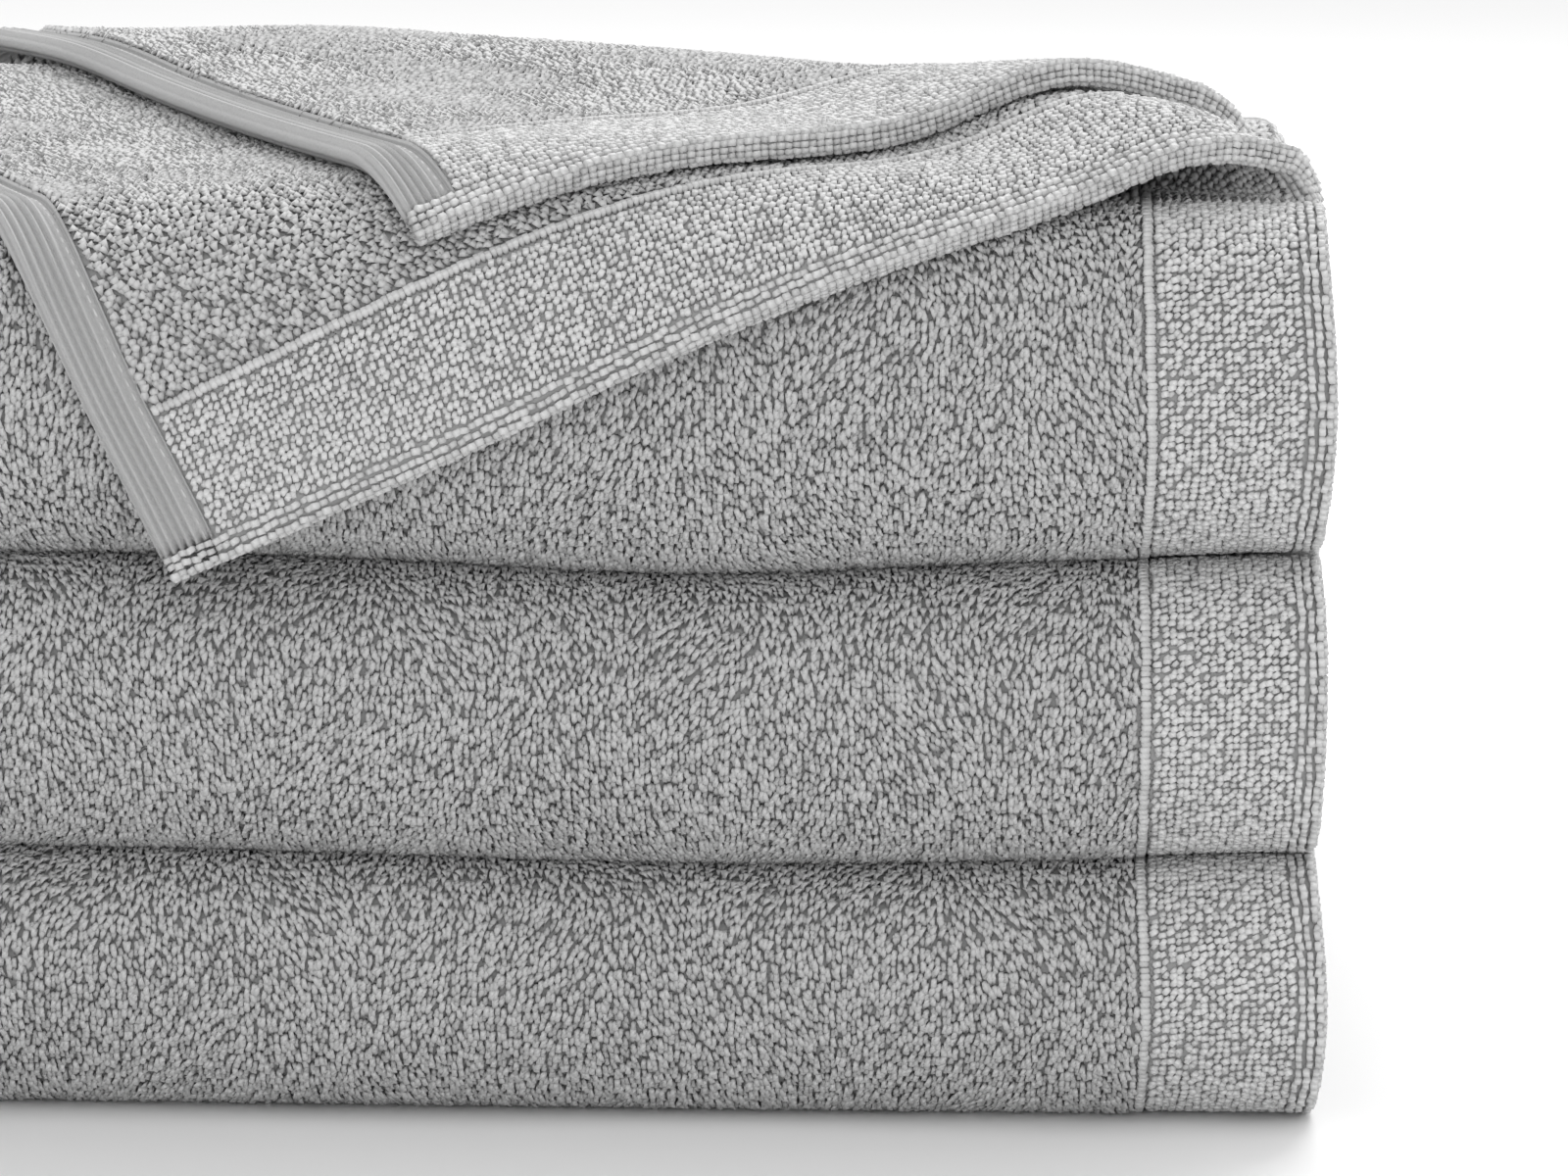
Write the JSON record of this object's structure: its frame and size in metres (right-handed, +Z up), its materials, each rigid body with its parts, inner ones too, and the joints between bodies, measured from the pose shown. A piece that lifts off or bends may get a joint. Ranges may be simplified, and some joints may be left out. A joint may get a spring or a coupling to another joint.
{
  "type": "folded bath towel set",
  "caption": "Stack of folded terry bath towels with long-loop pile, short-pile end borders, raised ridges and woven side hems; two corners of the top towel are turned back.",
  "frame": {"origin": "centre of the flat underside of the bottom towel, on the surface that the stack stands on", "axes": "+X to the right, towards the towels' ends and borders; +Y to the back, away from the rounded front folds; +Z up"},
  "size_m": [0.3553, 0.2504, 0.1697],
  "materials": {
    "long_pile": "light grey cotton terry, long loose loops about 1.6 mm apart, matt with a soft sheen",
    "short_pile": "light grey cotton terry border, short dense loops in a square grid, matt",
    "ridge_pile": "raised row of packed loops between the field and the border, slightly paler, matt",
    "hem_pile": "turned end hem with two close rows of short loops, matt",
    "hem_weave": "flat woven side hem with fine ribs, turned and stitched, matt"
  },
  "bodies": {
    "bottom_towel": {"bottom_field": "long_pile", "bottom_inner_border": "short_pile", "bottom_inner_end_hem": "hem_pile", "bottom_inner_ridge": "ridge_pile", "bottom_outer_border": "short_pile", "bottom_outer_end_hem": "hem_pile", "bottom_outer_ridge": "ridge_pile", "bottom_top_side_hem": "hem_weave", "bottom_tucked_side_hem": "hem_weave"},
    "middle_towel": {"middle_field": "long_pile", "middle_inner_border": "short_pile", "middle_inner_end_hem": "hem_pile", "middle_inner_ridge": "ridge_pile", "middle_outer_border": "short_pile", "middle_outer_end_hem": "hem_pile", "middle_outer_ridge": "ridge_pile", "middle_top_side_hem": "hem_weave", "middle_tucked_side_hem": "hem_weave"},
    "top_towel": {"top_field": "long_pile", "top_inner_border": "short_pile", "top_inner_end_hem": "hem_pile", "top_inner_ridge": "ridge_pile", "top_outer_border": "short_pile", "top_outer_end_hem": "hem_pile", "top_outer_ridge": "ridge_pile", "top_top_side_hem": "hem_weave", "top_tucked_side_hem": "hem_weave"},
    "lower_corner": {"lower_corner_border": "short_pile", "lower_corner_end_hem": "hem_pile", "lower_corner_field": "long_pile", "lower_corner_ridge": "ridge_pile", "lower_corner_side_hem": "hem_weave"},
    "upper_corner": {"upper_corner_border": "short_pile", "upper_corner_end_hem": "hem_pile", "upper_corner_field": "long_pile", "upper_corner_ridge": "ridge_pile", "upper_corner_side_hem": "hem_weave"}
  },
  "joints": [
    {"name": "middle_lift", "type": "slide", "parent": "bottom_towel", "child": "middle_towel", "axis": [0, 0, 1], "range_m": [0, 0.25]},
    {"name": "top_lift", "type": "slide", "parent": "middle_towel", "child": "top_towel", "axis": [0, 0, 1], "range_m": [0, 0.25]},
    {"name": "upper_turn", "type": "hinge", "parent": "top_towel", "child": "upper_corner", "pos_m": [0.1705, -0.06788, 0.1588], "axis": [-0.8418, 0.5398, 0], "range_deg": [0, 70]},
    {"name": "lower_turn", "type": "hinge", "parent": "top_towel", "child": "lower_corner", "pos_m": [0.1765, -0.09488, 0.1584], "axis": [-0.8418, 0.5398, 0], "range_deg": [0, 56]}
  ],
  "couplings": [
    {"joint": "lower_turn", "follows": "upper_turn", "ratio": 0.8}
  ]
}
